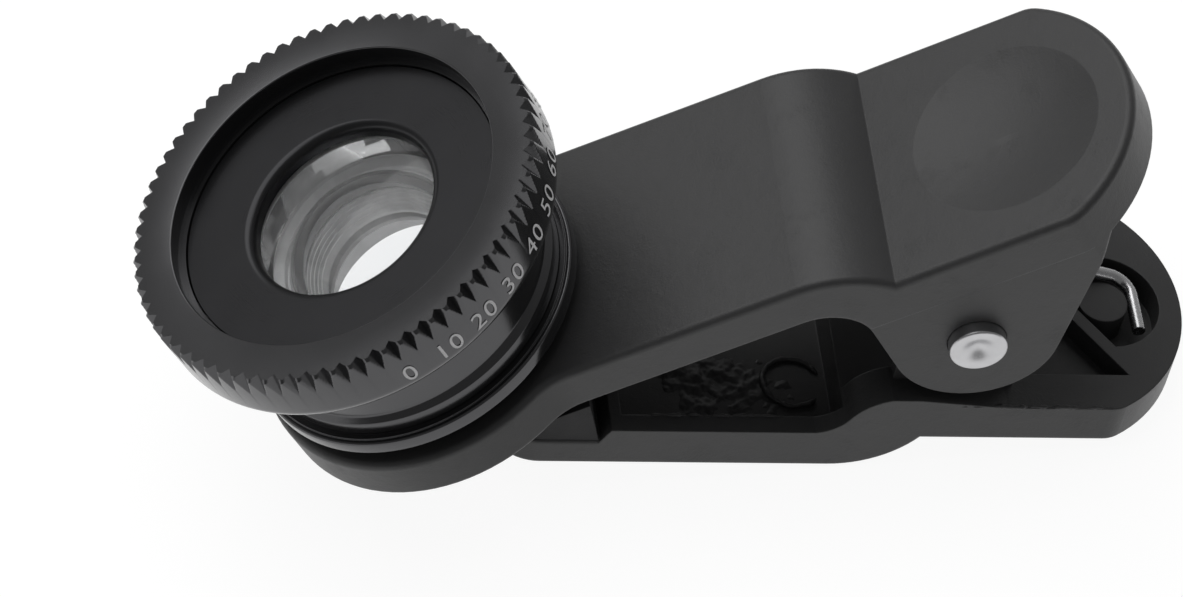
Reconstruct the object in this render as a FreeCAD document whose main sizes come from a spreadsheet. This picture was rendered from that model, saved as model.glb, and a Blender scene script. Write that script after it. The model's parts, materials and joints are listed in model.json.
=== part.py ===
"""Clip on phone lens: a sprung plastic clip with a fisheye lens screwed into its jaw.

All lengths are millimetres. Each arm is drawn in its own frame, with the hinge pin along Y at the
origin, +X towards the thumb end and +Z up, and the lens in a frame on its own axis. The arms are then
turned about the pin into the pose in which the closed clip rests on the floor at Z = 0.
"""
import FreeCAD, Part
import math
import os
import re
import Sketcher

Vector = FreeCAD.Vector
Y_AXIS = Vector(0, 1, 0)

# Driving dimensions: name, value, what it is
SIZES = [
    ("clip_angle", 33.0, "angle between the closed arms"),
    ("arm_width", 16.1, "width of both arms"),
    ("end_radius", 9.0, "plan radius of the thumb ends"),
    ("end_corner", 1.8, "plan radius between a thumb end and its sides"),
    ("side_wall", 1.5, "thickness of the moulded side walls"),
    ("skin", 1.6, "thickness of the moulded top"),
    ("low_skin", 1.4, "lower arm: thickness of its floor at the thumb end"),
    ("jaw_skin", 1.4, "lower arm: thickness of its floor in the jaw"),
    ("top_round", 0.45, "rounding of the outer edges of the upper arm"),
    ("rest_round", 0.3, "rounding of the edges that the clip rests on"),
    ("swing_gap", 0.2, "gap between faces that swing past each other"),

    ("lens_reach", 29.5, "upper arm: pin to the lens axis"),
    ("jaw_rise", 6.75, "upper arm: pin up to the underside of the jaw"),
    ("jaw_height", 3.0, "upper arm: thickness of the jaw plate"),
    ("ring_radius", 10.45, "upper arm: outside of the ring that holds the lens"),
    ("ring_blend", 4.0, "upper arm: plan radius where the ring joins the arm"),
    ("shoulder_reach", 7.2, "upper arm: pin to where the top starts to fall"),
    ("crease_reach", 2.15, "upper arm: pin to the crease below the shoulder"),
    ("thumb_rise", 7.25, "upper arm: pin up to the thumb plate"),
    ("thumb_lift", 0.25, "upper arm: how much the thumb plate climbs to its end"),
    ("thumb_wall", 2.9, "upper arm: height of the wall round the thumb plate"),
    ("thumb_reach", 13.55, "upper arm: pin to the thumb end"),
    ("dimple_radius", 5.6, "thumb dimple: radius at its rim"),
    ("dimple_depth", 0.7, "thumb dimple: depth"),
    ("dimple_cap", 0.2, "thumb dimple: how far its round is drawn on above the plate"),
    ("dimple_reach", 5.5, "thumb dimple: pin to its middle"),
    ("ear_radius", 4.9, "ear: radius round the pin"),
    ("ear_inset", 0.15, "ear: how far its face is set in from the wall above"),
    ("ear_slope", 50.0, "ear: angle of its rear edge"),
    ("ear_blend", 3.0, "ear: radius from the jaw's underside into the front edge"),

    ("jaw_drop", 11.6, "lower arm: pin down to the outer face of the jaw"),
    ("jaw_wall", 3.1, "lower arm: height of the jaw's side walls"),
    ("tip_reach", 27.6, "lower arm: pin to the tip of the jaw"),
    ("tip_radius", 16.0, "lower arm: plan radius of the tip"),
    ("tip_corner", 3.0, "lower arm: plan radius between the tip and the sides"),
    ("jaw_side", 1.2, "lower arm: thickness of the jaw's side walls"),
    ("seat_drop", 9.5, "lower arm: pin down to the seat of the rubber pad"),
    ("seat_reach", 20.3, "lower arm: pin to the rear end of that seat"),
    ("seat_lean", 0.5, "lower arm: how far the step behind the seat leans"),
    ("bulkhead", 1.2, "lower arm: thickness of the wall behind the seat"),
    ("hollow_lap", 0.4, "lower arm: overlap of the hollows of jaw and thumb end"),
    ("climb_start", 1.2, "lower arm: where its walls start to climb, before the shoulder"),
    ("climb_middle", 0.6, "lower arm: half way up that climb, from shoulder and crease"),
    ("climb_dip", 0.3, "lower arm: how far the climb hangs below its chord there"),
    ("climb_foot", 2.6, "lower arm: radius at the foot of that climb"),
    ("climb_head", 3.4, "lower arm: radius at the head of that climb"),
    ("climb_fall", 1.6, "lower arm: run from the hump down to the rim"),
    ("low_shoulder_reach", 6.6, "lower arm: pin to where its outer face starts to climb"),
    ("low_crease_reach", 1.5, "lower arm: pin to the crease behind that shoulder"),
    ("low_thumb_drop", 8.95, "lower arm: pin down to the outer face of the thumb end"),
    ("rim_drop", 6.0, "lower arm: pin down to the rim of the thumb end"),
    ("hump_drop", 5.45, "lower arm: pin down to the highest point of its walls"),
    ("low_thumb_reach", 14.8, "lower arm: pin to the thumb end"),
    ("lug_radius", 3.6, "lug: radius round the pin"),
    ("lug_thick", 0.85, "lug: thickness"),
    ("lug_root", 1.0, "lug: how far it sinks into the wall that carries it"),
    ("hook_reach", 10.1, "spring pocket: pin to its middle"),
    ("hook_pocket", 3.4, "spring pocket: radius"),
    ("hook_post", 1.5, "spring pocket: radius of the post"),
    ("hook_depth", 1.9, "spring pocket: depth below the rim"),
    ("rib_thick", 0.8, "rib in front of the spring pocket: thickness"),
    ("rib_sweep", 34.0, "rib in front of the spring pocket: how far it slants back"),

    ("pin_radius", 1.68, "pin: radius"),
    ("pin_fit", 0.04, "pin: gap all round in the arms"),
    ("pin_stand", 0.8, "pin: how far each end stands out of its ear"),
    ("pin_bevel", 0.2, "pin: bevel of the ends"),
    ("pin_dent", 0.62, "pin: radius of the dent in each end"),
    ("wire", 0.8, "spring: diameter of the wire"),
    ("coil_radius", 2.35, "spring: radius of the coil at the wire's middle"),
    ("coil_turns", 3.0, "spring: whole turns"),
    ("turn_gap", 0.15, "spring: gap between its turns"),
    ("wire_gap", 0.05, "spring: gap between the wire and what it bears on"),
    ("wire_bend", 1.3, "spring: radius of the bends"),
    ("hook_length", 3.9, "spring: length of each hook across the clip"),
    ("hook_sink", 0.3, "spring: depth of the lower hook below the rim"),

    ("pad_height", 0.4, "upper pad: thickness"),
    ("pad_outer", 9.3, "upper pad: outer radius"),
    ("pad_gap", 0.05, "gap between the two pads of the closed clip"),
    ("pad_inset", 0.1, "lower pad: how far it stays inside the jaw"),
    ("pad_back", 20.4, "lower pad: pin to the foot of its rear end"),
    ("pad_lean", 1.0, "lower pad: how far the rear end leans forward"),
    ("pad_lap", 0.5, "lower pad: distance from the thin edge to where its top plane meets the seat"),

    ("stub_radius", 8.45, "mounting base: radius of the threaded stub"),
    ("stub_fit", 0.05, "mounting base: gap round the stub in the jaw"),
    ("stub_wall", 1.1, "mounting base: wall at the end of the stub"),
    ("stub_lift", 0.4, "mounting base: end of the stub above the underside of the jaw"),
    ("washer_height", 1.1, "seat washer: thickness"),
    ("washer_outer", 9.1, "seat washer: outer radius"),
    ("flange_radius", 10.2, "mounting base: radius of the flange"),
    ("flange_height", 0.95, "mounting base: thickness of the flange"),
    ("lip_radius", 9.9, "mounting base: radius of the lip on the flange"),
    ("lip_height", 0.12, "mounting base: height of that lip"),
    ("barrel_radius", 9.2, "barrel: outside"),
    ("collar_radius", 9.55, "barrel: outside of the collar at its foot"),
    ("collar_height", 0.95, "barrel: height of the collar"),
    ("barrel_bore", 7.5, "barrel: bore"),
    ("barrel_height", 7.83, "barrel: length"),
    ("web_height", 1.4, "barrel: thickness of the web at its foot"),
    ("web_bore", 5.45, "barrel: hole in the web, which holds the rear glass"),
    ("tube_fit", 0.05, "lens pieces: gap all round in what holds them"),

    ("head_radius", 12.5, "head ring: outside"),
    ("head_height", 4.03, "head ring: height"),
    ("head_skirt", 1.58, "head ring: height of the part that grips the barrel"),
    ("head_foot", 0.9, "head ring: double bevel of the lower edge"),
    ("bevel_share", 0.3, "double bevels: how far in the middle edge lies, of the whole"),
    ("head_bevel", 0.18, "head ring: bevel of the front edge"),
    ("bezel_bore", 10.0, "head ring: radius of the recess in the front"),
    ("bezel_step", 0.25, "head ring: step in from the recess to the seat of the face plate"),
    ("bezel_rise", 0.1, "head ring: height of that step above the face plate"),
    ("knurl_count", 74, "head ring: number of notches"),
    ("knurl_depth", 0.5, "head ring: depth of a notch at the front"),
    ("knurl_length", 1.85, "head ring: length of a notch"),
    ("knurl_share", 0.97, "head ring: share of the pitch that a notch takes"),
    ("plate_height", 1.0, "face plate: thickness"),
    ("plate_bore", 5.55, "face plate: radius of the opening"),
    ("plate_bevel", 0.55, "face plate: double bevel of the opening"),
    ("glass_radius", 7.35, "front glass: outer radius of its flange"),
    ("glass_waist", 5.9, "front glass: radius below the flange"),
    ("glass_flange", 0.95, "front glass: thickness of the flange"),
    ("glass_dome", 20.0, "front glass: radius of the outer face"),
    ("glass_bowl", 5.2, "front glass: radius of the hollow inner face"),
    ("glass_middle", 1.0, "front glass: thickness at the middle"),
    ("glass_rim", 0.3, "front glass: bevel at the foot"),
    ("glass_edge", 0.66, "front glass: width of the rim round the hollow"),
    ("dome_lap", 0.1, "front glass: how far the dome reaches over the waist"),
    ("seal_height", 0.17, "glass seal: thickness"),
    ("seal_width", 1.0, "glass seal: width"),
    ("sleeve_height", 2.4, "inner sleeve: length"),
    ("sleeve_mouth", 5.4, "inner sleeve: radius of its mouth"),
    ("exit_radius", 4.5, "inner sleeve: radius of the exit"),
    ("sleeve_lip", 0.3, "inner sleeve: height of the lip round the exit"),
    ("rear_crown", 0.35, "rear glass: rise of its upper face"),
    ("rear_edge", 0.8, "rear glass: thickness at the edge"),
    ("keeper_width", 0.65, "rear retainer: width of the ring"),
    ("keeper_height", 0.5, "rear retainer: height of the ring"),
]

doc = FreeCAD.newDocument("clip_on_phone_lens")
sheet = doc.addObject("Spreadsheet::Sheet", "dim")
for row, (alias, size, meaning) in enumerate(SIZES, start=1):
    sheet.set(f"A{row}", str(size))
    sheet.setAlias(f"A{row}", alias)
    sheet.set(f"B{row}", meaning)
doc.recompute()
ALIASES = {alias for alias, size, meaning in SIZES}


def expr(text):
    """Write dim. in front of each name of the sheet in an expression."""
    return re.sub(r"[a-z_]+", lambda name: "dim." + name[0] if name[0] in ALIASES else name[0], str(text))


def value(text):
    """The number that an expression of sheet names gives now."""
    number = sheet.evalExpression(expr(text))
    return float(getattr(number, "Value", number))


# Heights and places that several pieces share, as expressions of the sheet
LENS_TOP = "(jaw_height + washer_height + flange_height + lip_height)"
BARREL_TOP = f"({LENS_TOP} + barrel_height)"
HEAD_FOOT = f"({BARREL_TOP} - head_skirt)"
HEAD_TOP = f"({HEAD_FOOT} + head_height)"
WEB_TOP = f"({LENS_TOP} + web_height)"
SLEEVE_TOP = f"({WEB_TOP} + sleeve_height)"
PLATE_TOP = f"({BARREL_TOP} + plate_height)"
GLASS_TOP = f"({BARREL_TOP} - seal_height)"
GLASS_STEP = f"({GLASS_TOP} - glass_flange)"
THUMB_LOW = "(thumb_rise - thumb_wall)"
HALF_WIDTH = "(arm_width/2)"
EAR_FACE = "(arm_width/2 - ear_inset)"
EAR_BACK = "(arm_width/2 - side_wall)"
LUG_FACE = f"({EAR_BACK} - swing_gap)"
LUG_INNER = f"({LUG_FACE} - lug_thick)"
LOW_FLOOR = "(low_thumb_drop - low_skin)"
RIB_BACK = "(hook_reach - (hook_post + swing_gap)/cos(rib_sweep))"
RIB_NOSE = f"({RIB_BACK} - rib_thick/cos(rib_sweep))"
OUTSIDE = 5


def contact_drop(reach):
    """Depth below the pin, in the lower arm's frame, of the plane in which the closed pads meet."""
    return f"(({reach}*sin(clip_angle) - jaw_rise + pad_height + pad_gap)/cos(clip_angle))"


def new_body(label):
    body = doc.addObject("PartDesign::Body", label)
    body.Label = label
    return body


def new_sketch(body, plane, offset="0"):
    """A sketch on one of the body's own planes, moved along that plane's normal by offset."""
    sketch = body.newObject("Sketcher::SketchObject", f"{body.Name}_sketch")
    origin_plane = [item for item in body.Origin.OriginFeatures if item.Role == plane][0]
    sketch.AttachmentSupport = [(origin_plane, "")]
    sketch.MapMode = "FlatFace"
    sketch.setExpression("AttachmentOffset.Base.z", expr(offset))
    return sketch


def bind(sketch, kind, *where):
    """Add a constraint whose size is the last item, an expression of the sheet."""
    index = sketch.addConstraint(Sketcher.Constraint(kind, *where[:-1], value(where[-1])))
    sketch.setExpression(f"Constraints[{index}]", expr(where[-1]))


def arc_between(start, end, radius):
    """The short arc from start to end, turning left for a radius above zero and right below it."""
    chord = end - start
    half = chord.Length / 2
    side = Vector(-chord.y, chord.x, 0).normalize() * math.copysign(1, radius)
    centre = start + chord * 0.5 + side * math.sqrt(max(radius * radius - half * half, 0))
    first, last = (start, end) if radius > 0 else (end, start)
    angles = [math.atan2(point.y - centre.y, point.x - centre.x) for point in (first, last)]
    return Part.ArcOfCircle(Part.Circle(centre, Vector(0, 0, 1), abs(radius)), *angles)


def loop(sketch, corners):
    """Draw a closed outline. A corner is (x, y), or (x, y, radius) where an arc arrives at it."""
    points = [Vector(value(corner[0]), value(corner[1]), 0) for corner in corners]
    ends = []
    for index, corner in enumerate(corners):
        start, end = points[index - 1], points[index]
        if len(corner) == 3:
            radius = value(corner[2])
            edge = sketch.addGeometry(arc_between(start, end, radius))
            bind(sketch, "Radius", edge, f"abs({corner[2]})")
            ends.append((edge, 1, 2) if radius > 0 else (edge, 2, 1))
        else:
            edge = sketch.addGeometry(Part.LineSegment(start, end))
            ends.append((edge, 1, 2))
    for index, corner in enumerate(corners):
        edge, first, last = ends[index]
        next_edge, next_first, next_last = ends[(index + 1) % len(corners)]
        sketch.addConstraint(Sketcher.Constraint("Coincident", edge, last, next_edge, next_first))
        bind(sketch, "DistanceX", -1, 1, edge, last, corner[0])
        bind(sketch, "DistanceY", -1, 1, edge, last, corner[1])


def circle(sketch, across, along, radius):
    centre = Vector(value(across), value(along), 0)
    edge = sketch.addGeometry(Part.Circle(centre, Vector(0, 0, 1), value(radius)))
    bind(sketch, "Radius", edge, radius)
    bind(sketch, "DistanceX", -1, 1, edge, 3, across)
    bind(sketch, "DistanceY", -1, 1, edge, 3, along)


def feature(body, kind, sketch, **settings):
    item = body.newObject(f"PartDesign::{kind}", f"{body.Name}_{kind.lower()}")
    item.Profile = sketch
    for name, setting in settings.items():
        setattr(item, name, setting)
    return item


def pad(body, sketch, length, **settings):
    item = feature(body, "Pad", sketch, **settings)
    item.setExpression("Length", expr(length))
    doc.recompute()
    return item


def pocket(body, sketch, length, **settings):
    """Cut a sketch into the body and make sure that it takes something away."""
    before = body.Shape.Volume
    item = feature(body, "Pocket", sketch, **settings)
    item.setExpression("Length", expr(length))
    doc.recompute()
    if body.Shape.Volume > before - 1e-4:
        raise RuntimeError(f"{item.Name} cuts nothing")
    return item


def turned(label, corners):
    """A piece turned on a lathe: its half section, as (radius, height) corners, goes round the axis."""
    body = new_body(label)
    sketch = new_sketch(body, "XZ_Plane")
    loop(sketch, corners)
    feature(body, "Revolution", sketch, ReferenceAxis=(sketch, ["V_Axis"]), Angle=360)
    doc.recompute()
    return body


def mirrored(body, items, plane="XZ_Plane"):
    """Repeat features on the other side of the clip's middle plane."""
    item = body.newObject("PartDesign::Mirrored", f"{body.Name}_mirrored")
    item.Originals = items
    item.MirrorPlane = ([part for part in body.Origin.OriginFeatures if part.Role == plane][0], [""])
    body.Tip = item
    doc.recompute()


def rounded(body, radius, wanted):
    """Round the edges of the body so far for which wanted(edge) holds."""
    base = body.Tip
    names = [f"Edge{index}" for index, edge in enumerate(base.Shape.Edges, start=1) if wanted(edge)]
    item = body.newObject("PartDesign::Fillet", f"{body.Name}_fillet")
    item.Base = (base, names)
    item.setExpression("Radius", expr(radius))
    doc.recompute()
    return item


def end_outline(reach, side, radius="end_radius", corner="end_corner", way=1):
    """Corners of a rounded end of an arm: corner arc, end arc, corner arc.

    It runs from the side at -Y to the side at +Y at the thumb end, and back with way -1 at the tip.
    """
    inner = f"({side} - {corner})"
    spread = f"({radius} - {corner})"
    run = f"sqrt({spread}^2 - {inner}^2)"
    side_x = f"{way}*({reach} - {radius} + {run})"
    touch_x = f"{way}*({reach} - {radius} + {run}*{radius}/{spread})"
    touch_y = f"{way}*{inner}*{radius}/{spread}"
    return [
        (side_x, f"-{way}*{side}"),
        (touch_x, f"-{touch_y}", corner),
        (touch_x, touch_y, radius),
        (side_x, f"{way}*{side}", corner),
    ]


# Upper arm
def upper_plan():
    """Plan outline: the lens ring, its two concave joins, the straight sides and the thumb end."""
    reach = f"({HALF_WIDTH} + ring_blend)"
    join = f"(-lens_reach + sqrt((ring_radius + ring_blend)^2 - {reach}^2))"
    share = "(ring_radius/(ring_radius + ring_blend))"
    touch_x = f"(-lens_reach + ({join} + lens_reach)*{share})"
    touch_y = f"({reach}*{share})"
    return [
        (touch_x, f"-{touch_y}"),
        (join, f"-{HALF_WIDTH}", "-ring_blend"),
        *end_outline("thumb_reach", HALF_WIDTH),
        (join, HALF_WIDTH),
        (touch_x, touch_y, "-ring_blend"),
        ("-lens_reach - ring_radius", "0", "ring_radius"),
        (touch_x, f"-{touch_y}", "ring_radius"),
    ][1:]


def build_upper_arm():
    """One moulding: jaw ring, shoulder, thumb plate and the two ears that hang from its sides."""
    body = new_body("upper_arm")
    sketch = new_sketch(body, "XY_Plane", "-ear_radius")
    loop(sketch, upper_plan())
    pad(body, sketch, "ear_radius + jaw_rise + jaw_height")
    cut_upper_side(body)
    rounded(body, "top_round", is_top_edge)
    rounded(body, "rest_round", is_jaw_foot)
    cut_upper_hollows(body)

    sketch = new_sketch(body, "XZ_Plane")
    circle(sketch, "0", "0", "pin_radius + pin_fit")
    pocket(body, sketch, "arm_width*2", SideType="Symmetric")
    sketch = new_sketch(body, "XY_Plane", "jaw_rise")
    circle(sketch, "-lens_reach", "0", "stub_radius + stub_fit")
    pocket(body, sketch, "jaw_height*2", Reversed=True)

    cut_thumb_dimple(body)
    return body


def cut_thumb_dimple(body):
    """Turn a shallow round hollow into the thumb plate."""
    ball = "((dimple_radius^2 + dimple_depth^2)/(2*dimple_depth))"
    slope = "(thumb_lift/(thumb_reach + crease_reach))"
    top = f"(thumb_rise + {slope}*(dimple_reach + crease_reach))"
    reach = f"sqrt({ball}^2 - ({ball} - dimple_depth - dimple_cap)^2)"
    sketch = new_sketch(body, "XZ_Plane")
    sketch.setExpression("AttachmentOffset.Base.x", expr("dimple_reach"))
    loop(sketch, [
        ("0", f"{top} - dimple_depth"),
        (reach, f"{top} + dimple_cap", ball),
        ("0", f"{top} + dimple_cap"),
    ])
    feature(body, "Groove", sketch, ReferenceAxis=(sketch, ["V_Axis"]), Angle=360)
    doc.recompute()


def cut_upper_side(body):
    """Cut the side view: shoulder and thumb plate above, jaw, ears and rear wall below."""
    fall = "(jaw_rise + jaw_height - thumb_rise)"
    run = "(shoulder_reach - crease_reach)"
    beyond = f"thumb_reach + {OUTSIDE}"
    above = f"jaw_rise + jaw_height + {OUTSIDE}"
    below = f"-ear_radius - {OUTSIDE}"
    climb = f"thumb_rise + thumb_lift*({beyond} + crease_reach)/(thumb_reach + crease_reach)"
    sketch = new_sketch(body, "XZ_Plane")
    loop(sketch, [
        ("-shoulder_reach", above),
        ("-shoulder_reach", "jaw_rise + jaw_height"),
        ("-crease_reach", "thumb_rise", f"-({run}^2 + {fall}^2)/(2*{fall})"),
        (beyond, climb),
        (beyond, above),
    ])
    pocket(body, sketch, "arm_width*2", SideType="Symmetric")

    front = f"-lens_reach - ring_radius - {OUTSIDE}"
    low_x, low_z = "ear_radius*sin(ear_slope)", "-ear_radius*cos(ear_slope)"
    slope_end = f"({low_x} + ({THUMB_LOW} + ear_radius*cos(ear_slope))/tan(ear_slope))"
    sketch = new_sketch(body, "XZ_Plane")
    loop(sketch, [
        (front, below),
        ("0", below),
        ("0", "-ear_radius"),
        ("-ear_radius", "0", "-ear_radius"),
        ("-ear_radius", "jaw_rise - ear_blend"),
        ("-ear_radius - ear_blend", "jaw_rise", "ear_blend"),
        (front, "jaw_rise"),
    ])
    pocket(body, sketch, "arm_width*2", SideType="Symmetric")
    sketch = new_sketch(body, "XZ_Plane")
    loop(sketch, [
        ("0", below),
        (beyond, below),
        (beyond, THUMB_LOW),
        (slope_end, THUMB_LOW),
        (low_x, low_z),
        ("0", "-ear_radius", "-ear_radius"),
    ])
    pocket(body, sketch, "arm_width*2", SideType="Symmetric")


def cut_upper_hollows(body):
    """Hollow the arm from below, and set the faces of the ears in from the walls above."""
    inner = f"({HALF_WIDTH} - side_wall)"
    hollow_front = "(-lens_reach + ring_radius + side_wall)"
    sketch = new_sketch(body, "XY_Plane", "jaw_rise")
    loop(sketch, [
        ("-shoulder_reach + side_wall", f"-{inner}"),
        ("-shoulder_reach + side_wall", inner),
        (hollow_front, inner),
        (hollow_front, f"-{inner}"),
    ])
    pocket(body, sketch, "jaw_height - skin", Reversed=True)
    sketch = new_sketch(body, "XY_Plane", "thumb_rise - skin")
    loop(sketch, [
        *end_outline("(thumb_reach - side_wall)", inner, "(end_radius - side_wall)"),
        ("-ear_radius + side_wall", inner),
        ("-ear_radius + side_wall", f"-{inner}"),
    ])
    pocket(body, sketch, "ear_radius + thumb_rise")
    front_gap = "(jaw_rise - ear_blend)"
    sketch = new_sketch(body, "XY_Plane", front_gap)
    loop(sketch, [
        (f"-ear_radius - {OUTSIDE}", f"-{inner}"),
        ("0", f"-{inner}"),
        ("0", inner),
        (f"-ear_radius - {OUTSIDE}", inner),
    ])
    pocket(body, sketch, "ear_radius + thumb_rise")
    for side in ("", "-"):
        sketch = new_sketch(body, "XY_Plane", f"-ear_radius - {OUTSIDE}")
        loop(sketch, [
            (f"-ear_radius - {OUTSIDE}", f"{side}{EAR_FACE}"),
            (f"-ear_radius - {OUTSIDE}", f"{side}({EAR_FACE} + {OUTSIDE})"),
            ("thumb_reach", f"{side}({EAR_FACE} + {OUTSIDE})"),
            ("thumb_reach", f"{side}{EAR_FACE}"),
        ])
        pocket(body, sketch, f"ear_radius + {OUTSIDE} + {THUMB_LOW}", Reversed=True)


def is_top_edge(edge):
    """True for the outline of the upper arm's top, from the ring to the thumb end."""
    box = edge.BoundBox
    across = box.YLength > value(HALF_WIDTH) * 1.9 and box.XLength < 0.01
    upright = box.ZLength > 0.5 and box.XLength < 0.01
    return box.ZMin > value("thumb_rise") - 0.01 and not across and not upright


def is_jaw_foot(edge):
    """True for the outline of the jaw's underside, in front of the ears."""
    box = edge.BoundBox
    jaw_foot = value("jaw_rise")
    across = box.YLength > value(HALF_WIDTH) * 1.9 and box.XLength < 0.01
    return abs(box.ZMin - jaw_foot) < 0.001 and abs(box.ZMax - jaw_foot) < 0.001 and not across


# Lower arm
def build_lower_arm():
    body = new_body("lower_arm")
    sketch = new_sketch(body, "XY_Plane", "-jaw_drop")
    loop(sketch, [
        *end_outline("low_thumb_reach", HALF_WIDTH),
        *end_outline("tip_reach", HALF_WIDTH, "tip_radius", "tip_corner", -1),
    ])
    pad(body, sketch, "jaw_drop - hump_drop")

    rise = "(jaw_drop - low_thumb_drop)"
    run = "(low_shoulder_reach - low_crease_reach)"
    beyond = f"low_thumb_reach + {OUTSIDE}"
    below = f"-jaw_drop - {OUTSIDE}"
    sketch = new_sketch(body, "XZ_Plane")
    loop(sketch, [
        ("-low_shoulder_reach", below),
        (beyond, below),
        (beyond, "-low_thumb_drop"),
        ("-low_crease_reach", "-low_thumb_drop"),
        ("-low_shoulder_reach", "-jaw_drop", f"-({run}^2 + {rise}^2)/(2*{rise})"),
    ])
    pocket(body, sketch, "arm_width*2", SideType="Symmetric")
    cut_wall_tops(body)
    rounded(body, "rest_round", is_rest_edge)
    cut_hollows(body)
    cut_spring_pocket(body)

    sketch = new_sketch(body, "XZ_Plane", LUG_INNER)
    loop(sketch, [
        ("-lug_radius", "-rim_drop - lug_root"),
        ("lug_radius", "-rim_drop - lug_root"),
        ("lug_radius", "0"),
        ("0", "lug_radius", "lug_radius"),
        ("-lug_radius", "0", "lug_radius"),
    ])
    lug = pad(body, sketch, "lug_thick")
    mirrored(body, [lug])
    sketch = new_sketch(body, "XZ_Plane")
    circle(sketch, "0", "0", "pin_radius + pin_fit")
    pocket(body, sketch, "arm_width*2", SideType="Symmetric")
    return body


def cut_wall_tops(body):
    """Cut the walls to their height: pad seat, jaw walls, climb to the hump and thumb rim."""
    wall_top = "(-jaw_drop + jaw_wall)"
    climb = f"(-hump_drop - {wall_top})"
    half_climb = f"({climb}/2)"
    sketch = new_sketch(body, "XZ_Plane")
    front = f"-tip_reach - {OUTSIDE}"
    beyond = f"low_thumb_reach + {OUTSIDE}"
    plane_start = "(seat_drop*cos(clip_angle) + jaw_rise - pad_height - pad_gap - swing_gap)/sin(clip_angle)"
    loop(sketch, [
        (front, f"{OUTSIDE}"),
        (front, f"-{contact_drop(f'(tip_reach + {OUTSIDE})')} - swing_gap/cos(clip_angle)"),
        (f"-{plane_start}", "-seat_drop"),
        ("-seat_reach", "-seat_drop"),
        ("-seat_reach + seat_lean", wall_top),
        ("-low_shoulder_reach - climb_start", wall_top),
        ("-low_shoulder_reach + climb_middle", f"{wall_top} + {half_climb} - climb_dip", "climb_foot"),
        ("-low_crease_reach - climb_middle", "-hump_drop", "-climb_head"),
        ("low_crease_reach + climb_fall", "-rim_drop"),
        (beyond, "-rim_drop"),
        (beyond, f"{OUTSIDE}"),
    ])
    pocket(body, sketch, "arm_width*2", SideType="Symmetric")


def is_rest_edge(edge):
    """True for the outline of the lower arm's outer face."""
    box = edge.BoundBox
    crosses = box.YLength > value(HALF_WIDTH) * 1.9 and box.XLength < 0.01
    return box.ZMax < value("-low_thumb_drop") + 0.01 and not crosses


def cut_hollows(body):
    """Hollow the jaw, and cut the recess for the coil up to the slanted ribs."""
    inner = f"({HALF_WIDTH} - jaw_side)"
    sketch = new_sketch(body, "XY_Plane", "0")
    loop(sketch, [
        ("-seat_reach + bulkhead", f"-{inner}"),
        ("-low_shoulder_reach + hollow_lap", f"-{inner}"),
        ("-low_shoulder_reach + hollow_lap", inner),
        ("-seat_reach + bulkhead", inner),
    ])
    pocket(body, sketch, "jaw_drop - jaw_skin")
    sketch = new_sketch(body, "XY_Plane", "0")
    loop(sketch, [
        ("-low_shoulder_reach", f"-{LUG_INNER}"),
        (f"{RIB_NOSE} + {LUG_INNER}*tan(rib_sweep)", f"-{LUG_INNER}"),
        (RIB_NOSE, "0"),
        (f"{RIB_NOSE} + {LUG_INNER}*tan(rib_sweep)", LUG_INNER),
        ("-low_shoulder_reach", LUG_INNER),
    ])
    pocket(body, sketch, LOW_FLOOR)


def cut_spring_pocket(body):
    """Cut the round pocket for the spring's hook, with its post, behind the slanted ribs."""
    # Where the slanted face of the rib meets the pocket's circle
    start = RIB_BACK
    gap = f"(hook_reach - {start})"
    along = f"({gap}*sin(rib_sweep) + sqrt(hook_pocket^2 - ({gap}*cos(rib_sweep))^2))"
    meet_x = f"({start} + {along}*sin(rib_sweep))"
    meet_y = f"({along}*cos(rib_sweep))"
    sketch = new_sketch(body, "XY_Plane", "-rim_drop")
    loop(sketch, [
        (start, "0"),
        (meet_x, f"-{meet_y}"),
        ("hook_reach + hook_pocket", "0", "hook_pocket"),
        (meet_x, meet_y, "hook_pocket"),
    ])
    circle(sketch, "hook_reach", "0", "hook_post")
    pocket(body, sketch, "hook_depth")


# Pin and spring
def build_pin():
    """Steel pin across both ears, with a bevel and a shallow dent at each end."""
    half = f"({EAR_FACE} + pin_stand)"
    return turned("pivot_pin", [
        ("0", f"-{half} + pin_bevel"),
        ("pin_dent", f"-{half}"),
        ("pin_radius - pin_bevel", f"-{half}"),
        ("pin_radius", f"-{half} + pin_bevel"),
        ("pin_radius", f"{half} - pin_bevel"),
        ("pin_radius - pin_bevel", half),
        ("pin_dent", half),
        ("0", f"{half} - pin_bevel"),
    ])


def bend_at(before, corner, after, bend):
    """Where a bend of a wire starts and ends, the centre and axis of its arc, and its angle."""
    arrive, leave = (corner - before).normalize(), (after - corner).normalize()
    half_turn = arrive.getAngle(leave) / 2
    cut = bend * math.tan(half_turn)
    centre = corner + (leave - arrive).normalize() * (bend / math.cos(half_turn))
    return corner - arrive * cut, corner + leave * cut, centre, arrive.cross(leave), 2 * math.degrees(half_turn)


def drawn_wire(start, direction, radius, steps):
    """A round wire pushed along straight runs, given by where they end, and turned round arcs."""
    disc = Part.Face(Part.Wire(Part.Circle(start, direction, radius).toShape()))
    tip = Vector(start)
    pieces = []
    for step in steps:
        if isinstance(step, Vector):
            pieces.append(disc.extrude(step - tip))
            disc.translate(step - tip)
            tip = Vector(step)
        else:
            pieces.append(disc.revolve(*step))
            disc.rotate(*step)
            turn = FreeCAD.Rotation(step[1], step[2])
            tip = step[0] + turn.multVec(tip - step[0])
    wire = pieces[0].multiFuse(pieces[1:])
    if len(wire.Solids) != 1:
        raise RuntimeError("the runs of the wire don't join")
    return wire.Solids[0]


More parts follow.
